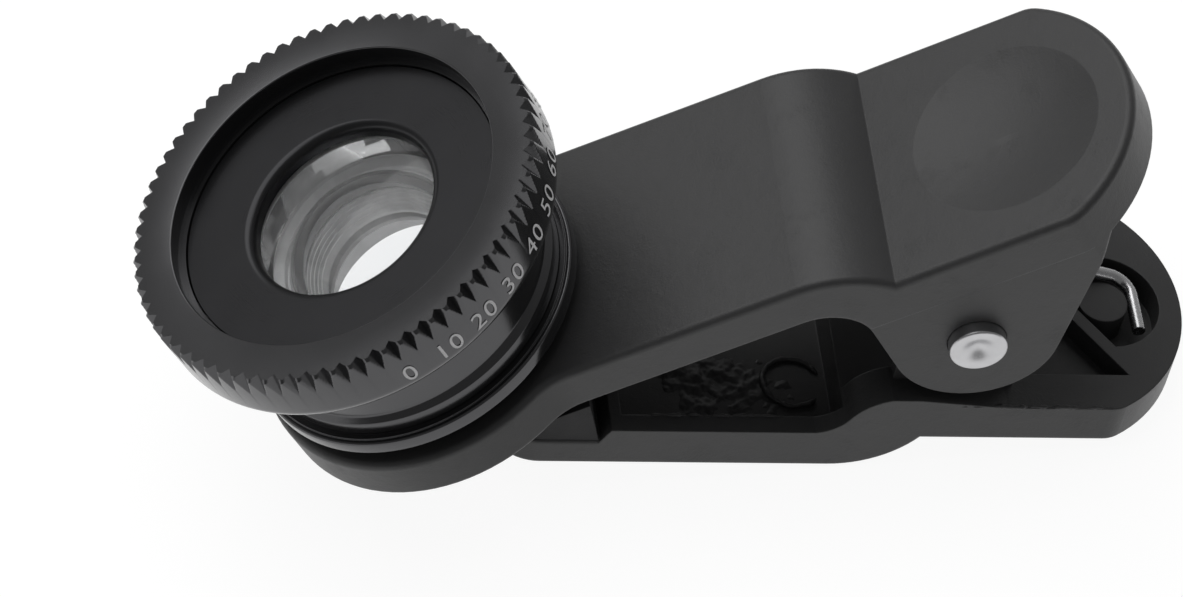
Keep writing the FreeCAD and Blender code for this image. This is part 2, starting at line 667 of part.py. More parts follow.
def build_spring():
    """Torsion spring: a coil round the pin with one hooked leg for each arm."""
    wire, coil = value("wire"), value("coil_radius")
    bend = value("wire_bend")
    pitch = wire + value("turn_gap")
    half_turns = round(2 * value("coil_turns"))
    across = Vector(0, -1, 0)
    # The lower leg passes beside the post and hooks behind it
    leg_y = value("hook_post") + wire / 2 + value("wire_gap")
    hook = Vector(value("hook_reach") + leg_y, leg_y, -value("rim_drop + hook_sink"))
    low_angle = leg_angle(hook.x, hook.z, -1)
    # The upper leg lies under the thumb plate, seen in the lower arm's frame
    seat_x, seat_z = value("dimple_reach"), value("thumb_rise - skin - wire_gap") - wire / 2
    top_x, top_z = turned_up(seat_x, seat_z, value("clip_angle"))
    high_angle = leg_angle(top_x, top_z, 1)
    end_y = leg_y - pitch * half_turns / 2
    top = Vector(top_x, end_y, top_z)

    # From the lower leg the wire turns against the clock, seen from -Y, and climbs towards -Y
    flat = math.degrees((low_angle - high_angle) % (2 * math.pi)) / 2
    coil_start = Vector(coil * math.cos(low_angle), leg_y, coil * math.sin(low_angle))
    coil_end = Vector(coil * math.cos(high_angle), end_y, coil * math.sin(high_angle))
    low_bend = bend_at(hook + across, hook, coil_start, bend)
    high_bend = bend_at(coil_end, top, top - across, bend)
    turn_axis = Vector(0, 1, 0)
    steps = [low_bend[0], low_bend[2:], coil_start, (Vector(0, leg_y, 0), turn_axis, flat)]
    spoke = FreeCAD.Rotation(turn_axis, flat).multVec(coil_start - Vector(0, leg_y, 0))
    for half in range(half_turns):
        side = 1 if half % 2 == 0 else -1
        chord = spoke * (-2 * side) + across * (pitch / 2)
        begin = spoke * side + Vector(0, leg_y, 0) + across * (pitch / 2 * half)
        along = turn_axis.cross(spoke * side)
        steps.append((begin + chord * 0.5, (chord * -1).cross(along).normalize(), 180))
    steps += [(Vector(0, end_y, 0), turn_axis, flat), high_bend[0], high_bend[2:],
              top - across * value("hook_length")]
    start = hook + across * value("hook_length")
    spring = doc.addObject("Part::Feature", "torsion_spring")
    spring.Label = "torsion_spring"
    spring.Shape = drawn_wire(start, across, wire / 2, steps)
    return spring


def leg_angle(x, z, side):
    """Angle at which a straight leg through (x, z) leaves the coil, above or below the pin."""
    reach = math.hypot(x, z)
    return math.atan2(z, x) + side * math.acos(value("coil_radius") / reach)


# Pads
def build_upper_pad():
    return turned("upper_jaw_pad", [
        ("stub_radius + stub_fit", "-pad_height"),
        ("pad_outer", "-pad_height"),
        ("pad_outer", "0"),
        ("stub_radius + stub_fit", "0"),
    ])


def build_lower_pad():
    """Rubber wedge on the tip of the lower jaw, whose top meets the upper pad."""
    body = new_body("lower_jaw_pad")
    side = f"({HALF_WIDTH} - pad_inset)"
    plane_start = "((seat_drop*cos(clip_angle) + jaw_rise - pad_height - pad_gap)/sin(clip_angle) - pad_lap)"
    radius, corner = "(tip_radius - pad_inset)", "(tip_corner - pad_inset)"
    sketch = new_sketch(body, "XY_Plane", "-seat_drop")
    loop(sketch, [
        ("-pad_back", f"-{side}"),
        ("-pad_back", side),
        *end_outline("(tip_reach - pad_inset)", side, radius, corner, -1),
    ])
    pad(body, sketch, "seat_drop")
    sketch = new_sketch(body, "XZ_Plane")
    top = "(pad_back + pad_lean)"
    loop(sketch, [
        ("-pad_back", "-seat_drop"),
        (f"-{top}", f"-{contact_drop(top)}"),
        (f"-{plane_start}", f"-{contact_drop(plane_start)}"),
        (f"-{plane_start}", f"-seat_drop - {OUTSIDE}"),
        (f"-tip_reach - {OUTSIDE}", f"-seat_drop - {OUTSIDE}"),
        (f"-tip_reach - {OUTSIDE}", f"{OUTSIDE}"),
        (f"-pad_back + {OUTSIDE}", f"{OUTSIDE}"),
        (f"-pad_back + {OUTSIDE}", "-seat_drop"),
    ])
    pocket(body, sketch, "arm_width*2", SideType="Symmetric")
    return body


# Lens
def build_mounting_base():
    """Threaded stub that screws into the jaw, with the flange that the barrel stands on."""
    flange_foot = "(jaw_height + washer_height)"
    flange_top = f"({flange_foot} + flange_height)"
    return turned("mounting_base", [
        ("stub_radius - stub_wall", "stub_lift"),
        ("stub_radius", "stub_lift"),
        ("stub_radius", flange_foot),
        ("flange_radius", flange_foot),
        ("flange_radius", flange_top),
        ("lip_radius", flange_top),
        ("lip_radius", LENS_TOP),
        ("web_bore", LENS_TOP),
    ])


def build_washer():
    return turned("seat_washer", [
        ("stub_radius + stub_fit", "jaw_height"),
        ("washer_outer", "jaw_height"),
        ("washer_outer", "jaw_height + washer_height"),
        ("stub_radius + stub_fit", "jaw_height + washer_height"),
    ])


def build_barrel():
    """Outer tube of the lens, with a collar and an inner web at its foot."""
    return turned("barrel", [
        ("web_bore", LENS_TOP),
        ("collar_radius", LENS_TOP),
        ("collar_radius", f"{LENS_TOP} + collar_height"),
        ("barrel_radius", f"{LENS_TOP} + collar_height + collar_radius - barrel_radius"),
        ("barrel_radius", BARREL_TOP),
        ("barrel_bore", BARREL_TOP),
        ("barrel_bore", WEB_TOP),
        ("web_bore", WEB_TOP),
    ])


def build_head():
    """Head ring that carries the front, with V notches that run out of the rim below the front."""
    body = turned("knurled_head", [
        ("barrel_radius + tube_fit", HEAD_FOOT),
        ("head_radius - head_foot", HEAD_FOOT),
        ("head_radius - head_foot*bevel_share", f"{HEAD_FOOT} + head_foot*bevel_share"),
        ("head_radius", f"{HEAD_FOOT} + head_foot"),
        ("head_radius", f"{HEAD_TOP} - head_bevel"),
        ("head_radius - head_bevel", HEAD_TOP),
        ("bezel_bore", HEAD_TOP),
        ("bezel_bore", f"{PLATE_TOP} + bezel_rise"),
        ("bezel_bore - bezel_step", f"{PLATE_TOP} + bezel_rise"),
        ("bezel_bore - bezel_step", BARREL_TOP),
        ("barrel_radius + tube_fit", BARREL_TOP),
    ])
    half_pitch = "(head_radius*sin(180/knurl_count))"
    sketch = new_sketch(body, "XY_Plane", HEAD_TOP)
    loop(sketch, [
        ("head_radius - knurl_depth", "0"),
        ("head_radius + knurl_depth", f"2*{half_pitch}*knurl_share"),
        ("head_radius + knurl_depth", f"-2*{half_pitch}*knurl_share"),
    ])
    before = body.Shape.Volume
    notch = feature(body, "Pocket", sketch, UseCustomVector=True, AlongSketchNormal=False)
    notch.setExpression("Direction.x", expr("knurl_depth"))
    notch.setExpression("Direction.z", expr("-knurl_length"))
    notch.setExpression("Length", expr("sqrt(knurl_length^2 + knurl_depth^2)*1.5"))
    doc.recompute()
    if body.Shape.Volume > before - 1e-4:
        raise RuntimeError("the notch cuts nothing")
    ring = body.newObject("PartDesign::PolarPattern", "knurled_head_notches")
    ring.Originals = [notch]
    ring.Axis = ([item for item in body.Origin.OriginFeatures if item.Role == "Z_Axis"][0], [""])
    ring.Angle = 360
    ring.setExpression("Occurrences", expr("knurl_count"))
    body.Tip = ring
    doc.recompute()
    return body


def build_face_plate():
    """Flat ring in the recess, whose opening has a double bevel."""
    radius = "(bezel_bore - bezel_step - tube_fit)"
    return turned("face_plate", [
        ("plate_bore", BARREL_TOP),
        (radius, BARREL_TOP),
        (radius, PLATE_TOP),
        ("plate_bore + plate_bevel", PLATE_TOP),
        ("plate_bore + plate_bevel*bevel_share", f"{PLATE_TOP} - plate_bevel*bevel_share"),
        ("plate_bore", f"{PLATE_TOP} - plate_bevel"),
    ])


def build_front_glass():
    """Deep meniscus: a shallow dome outside and a round hollow inside."""
    rim = "(glass_waist - glass_rim)"
    dome_edge = "(glass_waist + dome_lap)"
    apex = f"({GLASS_TOP} + glass_dome - sqrt(glass_dome^2 - {dome_edge}^2))"
    hollow_top = f"({apex} - glass_middle)"
    hollow = "(glass_waist - glass_rim - glass_edge)"
    rim_height = f"({hollow_top} - glass_bowl + sqrt(glass_bowl^2 - {hollow}^2))"
    return turned("front_glass", [
        ("0", hollow_top),
        (hollow, rim_height, "-glass_bowl"),
        (rim, rim_height),
        ("glass_waist", f"{rim_height} + glass_rim"),
        ("glass_waist", GLASS_STEP),
        ("glass_radius", GLASS_STEP),
        ("glass_radius", GLASS_TOP),
        (dome_edge, GLASS_TOP),
        ("0", apex, "glass_dome"),
    ])


def build_seal():
    return turned("glass_seal", [
        ("glass_radius - seal_width", GLASS_TOP),
        ("glass_radius", GLASS_TOP),
        ("glass_radius", BARREL_TOP),
        ("glass_radius - seal_width", BARREL_TOP),
    ])


def build_spacer():
    """Ring between the flange of the front glass and the inner sleeve."""
    return turned("front_spacer", [
        ("glass_waist + tube_fit", SLEEVE_TOP),
        ("barrel_bore - tube_fit", SLEEVE_TOP),
        ("barrel_bore - tube_fit", GLASS_STEP),
        ("glass_waist + tube_fit", GLASS_STEP),
    ])


def build_sleeve():
    """Inner sleeve, which narrows from its mouth to the exit."""
    return turned("inner_sleeve", [
        ("exit_radius", WEB_TOP),
        ("barrel_bore - tube_fit", WEB_TOP),
        ("barrel_bore - tube_fit", SLEEVE_TOP),
        ("sleeve_mouth", SLEEVE_TOP),
        ("exit_radius", f"{WEB_TOP} + sleeve_lip"),
    ])


def build_rear_glass():
    """Rear glass in the web of the barrel, flat below and slightly domed above."""
    edge_top = f"({WEB_TOP} - rear_crown - tube_fit)"
    radius = "(web_bore - tube_fit)"
    return turned("rear_glass", [
        ("0", f"{edge_top} - rear_edge"),
        (radius, f"{edge_top} - rear_edge"),
        (radius, edge_top),
        ("0", f"{edge_top} + rear_crown", f"({radius}^2 + rear_crown^2)/(2*rear_crown)"),
    ])


def build_retainer():
    """Ring that keeps the rear glass in the barrel."""
    top = f"({WEB_TOP} - rear_crown - tube_fit - rear_edge)"
    return turned("rear_retainer", [
        ("web_bore - tube_fit - keeper_width", f"{top} - keeper_height"),
        ("web_bore - tube_fit", f"{top} - keeper_height"),
        ("web_bore - tube_fit", top),
        ("web_bore - tube_fit - keeper_width", top),
    ])


# The pose at rest
def turned_up(x, z, degrees):
    """A point of an arm's side view after the arm's rear end is turned up by degrees."""
    angle = math.radians(degrees)
    return x * math.cos(angle) - z * math.sin(angle), x * math.sin(angle) + z * math.cos(angle)


def rest_pose():
    """How far the lower arm's rear end hangs down, and the pin's place, when the clip lies on a floor.

    It lies on the front of the lens ring and on the lower thumb end. The origin is below the middle
    of the whole length, from the front of the head ring to the lower thumb end.
    """
    soft = value("rest_round")
    angle = value("clip_angle")
    ring_x, ring_z = turned_up(value("-lens_reach - ring_radius") + soft, value("jaw_rise") + soft, angle)
    rear_x, rear_z = value("low_thumb_reach") - soft, -value("low_thumb_drop") + soft
    fall = math.degrees(math.atan2(rear_z - ring_z, rear_x - ring_x))
    lowest = turned_up(rear_x, rear_z, -fall)[1] - soft
    front_z = value(f"jaw_rise + {HEAD_TOP} - head_bevel")
    front = turned_up(value("-lens_reach - head_radius"), front_z, angle - fall)[0]
    rear = turned_up(value("low_thumb_reach"), -value("rim_drop"), -fall)[0]
    return fall, Vector(-(front + rear) / 2, 0, -lowest)


def place(item, rise, pin, lens=False):
    """Turn a piece about the pin, rear end up by rise degrees, and move the pin to its place."""
    arm = FreeCAD.Placement(pin, FreeCAD.Rotation(Y_AXIS, -rise))
    on_lens = FreeCAD.Placement(Vector(-value("lens_reach"), 0, value("jaw_rise")), FreeCAD.Rotation())
    item.Placement = arm * on_lens if lens else arm


def build_clip():
    lens_pieces = [
        build_upper_pad(), build_mounting_base(), build_washer(), build_barrel(), build_head(),
        build_face_plate(), build_seal(), build_front_glass(), build_spacer(), build_sleeve(),
        build_rear_glass(), build_retainer(),
    ]
    upper, lower = build_upper_arm(), build_lower_arm()
    lower_pad, spring, pin = build_lower_pad(), build_spring(), build_pin()
    doc.recompute()
    fall, pin_place = rest_pose()
    for piece in lens_pieces:
        place(piece, value("clip_angle") - fall, pin_place, lens=True)
    place(upper, value("clip_angle") - fall, pin_place)
    for piece in (lower, lower_pad, spring):
        place(piece, -fall, pin_place)
    pin.Placement = FreeCAD.Placement(pin_place, FreeCAD.Rotation(Vector(1, 0, 0), 90))
    doc.recompute()
    return [lower, lower_pad, upper, pin, spring, *lens_pieces]


def check_and_export(pieces):
    failed = [item.Name for item in doc.Objects if {"Invalid", "Error"} & set(item.State)]
    if failed:
        raise RuntimeError(f"failed features: {failed}")
    os.makedirs("parts", exist_ok=True)
    for piece in pieces:
        if piece.Shape.isNull() or not piece.Shape.isValid():
            raise RuntimeError(f"{piece.Label} has no valid solid")
    for piece in pieces:
        piece.Shape.exportStep(f"parts/{piece.Label}.step")
        box = piece.Shape.BoundBox
        print(f"{piece.Label}: {len(piece.Shape.Solids)} solid, {piece.Shape.Volume:.1f} mm3,"
              f" X {box.XMin:.2f} to {box.XMax:.2f}, Y {box.YMin:.2f} to {box.YMax:.2f},"
              f" Z {box.ZMin:.2f} to {box.ZMax:.2f}")


check_and_export(build_clip())
print("rest tilt and pin height:", rest_pose())
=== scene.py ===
import json
import math

import bmesh
import bpy
from bpy.props import FloatProperty, FloatVectorProperty, IntProperty, PointerProperty
from mathutils import Matrix, Vector, noise


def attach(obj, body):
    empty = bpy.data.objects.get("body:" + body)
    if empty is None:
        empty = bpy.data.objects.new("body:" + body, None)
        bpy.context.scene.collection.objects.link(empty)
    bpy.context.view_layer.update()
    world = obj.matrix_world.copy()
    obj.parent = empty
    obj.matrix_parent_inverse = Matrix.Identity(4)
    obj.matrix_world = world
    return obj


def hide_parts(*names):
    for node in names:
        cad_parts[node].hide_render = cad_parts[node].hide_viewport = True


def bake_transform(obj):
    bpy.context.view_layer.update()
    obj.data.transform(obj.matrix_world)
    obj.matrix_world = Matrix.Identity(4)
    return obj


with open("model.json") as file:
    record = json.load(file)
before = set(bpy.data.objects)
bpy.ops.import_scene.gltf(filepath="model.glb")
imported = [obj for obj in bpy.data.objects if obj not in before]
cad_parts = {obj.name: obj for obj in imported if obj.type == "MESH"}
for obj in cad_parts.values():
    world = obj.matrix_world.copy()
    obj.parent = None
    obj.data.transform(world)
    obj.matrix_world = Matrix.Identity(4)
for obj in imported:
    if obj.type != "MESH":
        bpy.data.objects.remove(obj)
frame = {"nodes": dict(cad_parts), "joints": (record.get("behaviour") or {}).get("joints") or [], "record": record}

bl_info = {
    "name": "Clip on phone lens",
    "version": (1, 0, 0),
    "blender": (4, 5, 0),
    "location": "3D View > Sidebar > Phone lens",
    "description": "Builds the looks of a sprung clip with a screwed-in wide-angle lens",
    "category": "Object",
}

MM = 0.001
FLOOR_WHITE = 1.1
JOINTS = {joint["name"]: joint for joint in frame["joints"]}


# Properties: what a user would change
def length(name, millimetres, description):
    return FloatProperty(name=name, description=description, default=millimetres * MM, unit="LENGTH")


def share(name, default, description):
    return FloatProperty(name=name, description=description, default=default, min=0, max=1, subtype="FACTOR")


def colour(name, default, description):
    return FloatVectorProperty(name=name, description=description, default=default, size=3, subtype="COLOR",
                               min=0, max=1)


class LensSizes(bpy.types.PropertyGroup):
    """Sizes of the lens, with heights above the underside of the jaw ring."""
    stub_radius: length("Stub radius", 8.45, "Threaded stub that screws into the jaw")
    stub_wall: length("Stub wall", 1.1, "Wall at the end of the stub")
    stub_foot: length("Stub foot", 0.4, "Height of the end of the stub")
    jaw_top: length("Jaw top", 3.0, "Height of the upper face of the jaw ring")
    washer_radius: length("Washer radius", 9.1, "Outside of the seat washer")
    flange_foot: length("Flange foot", 4.1, "Height of the underside of the flange")
    flange_radius: length("Flange radius", 10.2, "Outside of the flange")
    flange_top: length("Flange top", 5.05, "Height of the upper face of the flange")
    lip_radius: length("Lip radius", 9.9, "Outside of the low lip on the flange")
    barrel_foot: length("Barrel foot", 5.17, "Height of the foot of the barrel")
    collar_radius: length("Collar radius", 9.55, "Outside of the collar at the foot of the barrel")
    collar_top: length("Collar top", 6.12, "Height of the top of that collar")
    barrel_radius: length("Barrel radius", 9.2, "Outside of the barrel")
    barrel_bore: length("Barrel bore", 7.5, "Radius of the bore of the barrel")
    barrel_top: length("Barrel top", 13.0, "Height of the front end of the barrel")
    web_top: length("Web top", 6.57, "Height of the web at the foot of the bore")
    web_bore: length("Web bore", 5.45, "Hole in that web")
    head_radius: length("Head radius", 12.5, "Outside of the knurled head")
    head_foot: length("Head foot", 11.42, "Height of the lower face of the head")
    head_top: length("Head top", 15.45, "Height of the front face of the head")
    head_round: length("Head rounding", 0.9, "Rounding of the lower edge of the head")
    head_bevel: length("Head bevel", 0.18, "Bevel of the front edge of the head")
    bezel_bore: length("Bezel bore", 10.0, "Radius of the recess in the front")
    seat_bore: length("Seat bore", 9.75, "Radius of the seat of the face plate")
    seat_top: length("Seat top", 14.1, "Height of the step round the face plate")
    knurl_depth: length("Knurl depth", 0.58, "Depth of a notch at the front")
    knurl_length: length("Knurl length", 1.45, "Length of a notch")
    plate_top: length("Plate top", 14.0, "Height of the face plate's front")
    plate_bore: length("Plate bore", 5.55, "Radius of the opening in the face plate")
    plate_round: length("Plate rounding", 0.55, "Rounding of the edge of that opening")
    glass_radius: length("Glass radius", 7.35, "Outside of the front glass")
    glass_waist: length("Glass waist", 5.9, "Radius of the front glass below its flange")
    glass_top: length("Glass top", 12.83, "Height of the upper face of the glass flange")
    glass_step: length("Glass step", 11.88, "Height of the lower face of the glass flange")
    glass_dome: length("Glass dome", 20.0, "Radius of the outer face of the front glass")
    glass_bowl: length("Glass bowl", 5.2, "Radius of the hollow face of the front glass")
    glass_middle: length("Glass middle", 1.0, "Thickness of the front glass at its middle")
    sleeve_top: length("Sleeve top", 8.97, "Height of the upper end of the inner sleeve")
    sleeve_mouth: length("Sleeve mouth", 5.4, "Radius of the mouth of the sleeve")
    exit_radius: length("Exit radius", 4.5, "Radius of the exit of the sleeve")
    sleeve_lip: length("Sleeve lip", 0.3, "Height of the lip round the exit")
    rear_crown: length("Rear crown", 0.35, "Rise of the upper face of the rear glass")
    rear_edge: length("Rear edge", 0.8, "Thickness of the rear glass at its edge")
    keeper_width: length("Keeper width", 0.65, "Width of the ring behind the rear glass")
    keeper_height: length("Keeper height", 0.5, "Height of that ring")
    seal_width: length("Seal width", 1.0, "Width of the seal in front of the front glass")
    glass_waist_land: length("Waist land", 0.96, "Waist of the front glass to the edge of its hollow")
    glass_bevel: length("Glass bevel", 0.3, "Bevel round the hollow face of the front glass")
    fit: length("Fit", 0.05, "Gap between pieces that fit into each other")
    knurl_count: IntProperty(name="Knurl count", description="Notches round the head", default=74, min=12)


class ClipSizes(bpy.types.PropertyGroup):
    """Sizes of the clip, in the axes of the lower arm with the pin at the origin."""
    fall: FloatProperty(name="Fall", description="How far the lower arm's rear end hangs down",
                        default=math.radians(7.7618), unit="ROTATION")
    pin_radius: length("Pin radius", 1.68, "Outside of the pin")
    pin_half: length("Pin half length", 8.7, "Middle of the pin to its end")
    pin_rim: length("Pin rim", 1.3, "Radius inside the rim of the pin's end")
    pin_dish: length("Pin dish", 0.5, "Depth of the hollow in the pin's end")
    pin_edge: length("Pin edge", 0.16, "Rounding of the edge of the pin's end")
    wire_radius: length("Wire radius", 0.4, "Radius of the spring's wire")
    coil_outside: length("Coil outside", 2.85, "Pin axis to just outside the spring's coil")
    coil_start: length("Coil start", 1.95, "Where the coil begins at the lower leg, across the clip")
    coil_end: length("Coil end", -0.9, "Where the coil ends at the upper leg, across the clip")
    jaw_floor: length("Jaw floor", -10.2, "Height of the floor inside the jaw")
    mark_x: length("Mark place", -8.3, "Ring mark: middle along the arm")
    mark_y: length("Mark side", -3.1, "Ring mark: middle across the arm")
    mark_radius: length("Mark radius", 1.75, "Ring mark: radius")
    patch_low: FloatVectorProperty(name="Patch low", description="Rough patch: its corner at the jaw's front",
                                   size=2, unit="LENGTH", default=(-18.2 * MM, -6.6 * MM))
    patch_high: FloatVectorProperty(name="Patch high", description="Rough patch: the corner across from that",
                                    size=2, unit="LENGTH", default=(-6.4 * MM, -0.4 * MM))


class ScaleMarks(bpy.types.PropertyGroup):
    """Numbers round the plain band of the head ring."""
    count: IntProperty(name="Count", description="How many numbers", default=10, min=1)
    step: IntProperty(name="Step", description="From one number to the next", default=10, min=1)
    start: FloatProperty(name="Start", description="Angle of the first number", default=math.radians(-78),
                         unit="ROTATION")
    spacing: FloatProperty(name="Spacing", description="Angle between numbers", default=math.radians(12),
                           unit="ROTATION")
    centre: length("Centre", 12.95, "Height of the middle of the numbers")
    height: length("Height", 1.15, "Height of a figure")
    raised: length("Raised", 0.04, "How far the paint stands off the band")


class FinishColours(bpy.types.PropertyGroup):
    """Colours of the finishes, before their own variation."""
    clip: colour("Clip", (0.043, 0.043, 0.044), "Moulded plastic of both arms")
    rubber: colour("Rubber", (0.016, 0.016, 0.017), "Pads and washers")
    anodised: colour("Anodised", (0.085, 0.085, 0.088), "Reflection of the black metal of the lens")
    face: colour("Face", (0.035, 0.035, 0.037), "Reflection of the ring round the front glass")
    inner: colour("Inner metal", (0.8, 0.8, 0.8), "Rings inside the lens")
    steel: colour("Steel", (0.55, 0.55, 0.56), "Pin and spring")
    marks: colour("Marks", (0.85, 0.85, 0.86), "Scale on the head ring")
    floor: colour("Floor", (0.92, 0.92, 0.92), "Floor under the clip")


class StageSettings(bpy.types.PropertyGroup):
    """Camera and light."""
    camera_place: FloatVectorProperty(
        name="Camera place", description="Where the camera stands", subtype="TRANSLATION", unit="LENGTH",
        default=(-0.034037, -0.215909, 0.277455))
    camera_turn: FloatVectorProperty(
        name="Camera turn", description="Turn of the camera about X, Y and Z", subtype="EULER", unit="ROTATION",
        default=(math.radians(38.87098), math.radians(-1.27227), math.radians(-6.25215)))
    focal_length: FloatProperty(
        name="Focal length", description="Focal length in millimetres on a sensor 36 mm wide", default=182.587)
    light_place: FloatVectorProperty(
        name="Light place", description="Where the soft box hangs", subtype="TRANSLATION", unit="LENGTH",
        default=(-0.2, 0.26, 0.66))
    light_size: FloatProperty(name="Light size", description="Side of the soft box", default=0.75, unit="LENGTH")
    light_power: FloatProperty(name="Light power", description="Power of the soft box in watts", default=3.0)
    world_level: share("World level", 0.34, "Brightness of the far side of the room")
    world_dark: share("World dark", 0.18, "Brightness of the room on the camera's side")
    floor_glow: share("Floor glow", 0.84, "How much of the floor that the camera sees is plain white")


# Shader graphs
class Varying:
    """A number that varies over a surface. Sums with it add Math nodes to the graph."""

    def __init__(self, graph, socket):
        self.graph = graph
        self.socket = socket

    def maths(self, operation, *operands, clamp=False):
        return self.graph.add("Math", dict(enumerate(operands)), operation=operation, use_clamp=clamp)

    def __add__(self, other):
        return self.maths("ADD", self, other)

    def __sub__(self, other):
        return self.maths("SUBTRACT", self, other)

    def __rsub__(self, other):
        return self.maths("SUBTRACT", other, self)

    def __mul__(self, other):
        return self.maths("MULTIPLY", self, other)

    def ramped(self, low, high):
        """0 below low, 1 above high, and smooth between."""
        return self.graph.add("MapRange", {"Value": self, "From Min": low, "From Max": high},
                              interpolation_type="SMOOTHSTEP")

    __radd__ = __add__
    __rmul__ = __mul__


class Graph:
    """A node graph, with a short way to add nodes and links."""

    def __init__(self, tree):
        self.tree = tree

    def add(self, kind, inputs=None, output=0, **settings):
        """A node of that type, its settings, then the values or links of its sockets."""
        node = self.tree.nodes.new(f"ShaderNode{kind}")
        for name, setting in settings.items():
            setattr(node, name, setting)
        for name, source in (inputs or {}).items():
            self.feed(node.inputs[name], source)
        return Varying(self, node.outputs[output])

    def feed(self, socket, source):
        if isinstance(source, Varying):
            self.tree.links.new(source.socket, socket)
        elif hasattr(source, "__len__") and len(source) == 3 and socket.type == "RGBA":
            socket.default_value = (*source, 1)
        else:
            socket.default_value = source


class Finish(Graph):
    """One material and its node graph, with a Principled shader at its end."""

    def __init__(self, name, **constants):
        self.material = bpy.data.materials.new(name)
        self.material.use_nodes = True
        super().__init__(self.material.node_tree)
        self.shader = self.tree.nodes["Principled BSDF"]
        for socket, setting in constants.items():
            self.shader.inputs[socket.replace("_", " ")].default_value = setting

    def set(self, socket, source):
        self.feed(self.shader.inputs[socket], source)

    def place(self, scale=1.0):
        """Place on the piece in its own axes, in millimetres times scale."""
        spot = self.add("TexCoord", output="Object")
        factor = scale / MM
        return self.add("VectorMath", {0: spot, 1: (factor, factor, factor)}, operation="MULTIPLY")

    def noise(self, size, detail=3.0, rough=0.5, where=None):
        """Noise whose grains are about size millimetres, from 0 to 1."""
        return self.add("TexNoise", {"Vector": where or self.place(), "Scale": 1 / size, "Detail": detail,
                                     "Roughness": rough})

    def blend(self, factor, low, high):
        return self.add("Mix", {0: factor, 6: low, 7: high}, output=2, data_type="RGBA")

    def tint(self, base, amount, factor):
        """The base colour, varied by amount either way as factor goes from 0 to 1."""
        darker = tuple(part * (1 - amount) for part in base)
        paler = tuple(min(part * (1 + amount), 1) for part in base)
        return self.blend(factor, darker, paler)

    def bump(self, height, depth, edge=0.0):
        """A bump from a height of 0 to 1, depth millimetres deep, on edges softened by edge millimetres."""
        inputs = {"Height": height, "Distance": depth * MM, "Strength": 1.0}
        if edge:
            inputs["Normal"] = self.add("Bevel", {"Radius": edge * MM}, samples=6)
        return self.add("Bump", inputs)


def clip_plastic(name):
    """Black moulded plastic: satin, with a fine spark-eroded grain and faint flow marks."""
    colours = bpy.context.scene.finish_colours
    finish = Finish(name, IOR=1.47)
    grain = finish.noise(0.14, 3.0, 0.6)
    orange = finish.noise(0.7, 3.0, 0.55)
    flow = finish.noise(5.0, 2.0, 0.45)
    worn = finish.noise(2.2, 5.0, 0.65).ramped(0.5, 0.75)
    finish.set("Base Color", finish.tint(colours.clip, 0.14, flow))
    finish.set("Roughness", 0.33 + flow * 0.12 + grain * 0.08 + worn * 0.06)
    relief = grain * (0.25 + worn * 0.5) + orange * 0.5
    finish.set("Normal", finish.bump(relief, 0.035, edge=0.14))
    return finish.material


def rubber(name):
    """Soft black rubber with a dusty, fine grained face."""
    colours = bpy.context.scene.finish_colours
    finish = Finish(name, IOR=1.5)
    grain = finish.noise(0.1, 5.0, 0.7)
    dust = finish.noise(1.8, 4.0, 0.6)
    finish.set("Base Color", finish.tint(colours.rubber, 0.35, dust))
    finish.set("Roughness", 0.62 + dust * 0.2)
    finish.set("Normal", finish.bump(grain, 0.02, edge=0.08))
    return finish.material


def anodised_metal(name, shade, gloss, lines):
    """Black anodised metal with turning lines round its axis. shade is the name of its colour."""
    base = getattr(bpy.context.scene.finish_colours, shade)
    finish = Finish(name, Metallic=0.85)
    place = finish.place()
    parts = finish.add("SeparateXYZ", {"Vector": place}, output="Z")
    across = finish.add("VectorMath", {0: place, 1: (1, 1, 0)}, operation="MULTIPLY")
    radius = finish.add("VectorMath", {0: across}, operation="LENGTH", output="Value")
    spot = finish.add("CombineXYZ", {"X": radius * 1.0, "Z": parts * 1.0})
    turning = finish.noise(0.045, 3.0, 0.6, spot)
    dye = finish.noise(3.0, 3.0, 0.5)
    finish.set("Base Color", finish.tint(base, 0.08, dye))
    finish.set("Roughness", gloss + dye * 0.04 + turning * 0.05)
    finish.set("Normal", finish.bump(turning, lines))
    return finish.material


def inner_metal(name):
    """Satin grey metal of the rings inside the lens."""
    colours = bpy.context.scene.finish_colours
    finish = Finish(name, Metallic=0.25)
    smear = finish.noise(1.2, 4.0, 0.6)
    finish.set("Base Color", finish.tint(colours.inner, 0.3, smear))
    finish.set("Roughness", 0.5 + smear * 0.2)
    finish.set("Normal", finish.bump(finish.noise(0.08, 2.0), 0.006))
    return finish.material


def steel(name, gloss):
    """Bright steel with fine scratches."""
    colours = bpy.context.scene.finish_colours
    finish = Finish(name, Metallic=1.0)
    scratch = finish.noise(0.12, 4.0, 0.7)
    patch = finish.noise(0.9, 3.0, 0.5)
    finish.set("Base Color", finish.tint(colours.steel, 0.12, patch))
    finish.set("Roughness", gloss + scratch * 0.12)
    finish.set("Normal", finish.bump(scratch, 0.006, edge=0.06))
    return finish.material


def lens_glass(name):
    """Clear coated glass with a trace of dust."""
    finish = Finish(name, IOR=1.16, Transmission_Weight=0.94, Coat_Weight=0.35, Coat_IOR=1.5, Coat_Roughness=0.02)
    dust = finish.noise(0.5, 5.0, 0.65)
    finish.set("Base Color", finish.blend(dust, (0.95, 0.96, 0.97), (0.99, 0.99, 0.99)))
    finish.set("Roughness", dust.ramped(0.62, 0.9) * 0.1)
    return finish.material


def scale_paint(name):
    """Pale grey paint of the scale, a little uneven."""
    colours = bpy.context.scene.finish_colours
    finish = Finish(name)
    wear = finish.noise(0.3, 4.0, 0.6)
    finish.set("Base Color", finish.tint(colours.marks, 0.12, wear))
    finish.set("Roughness", 0.5 + wear * 0.2)
    return finish.material


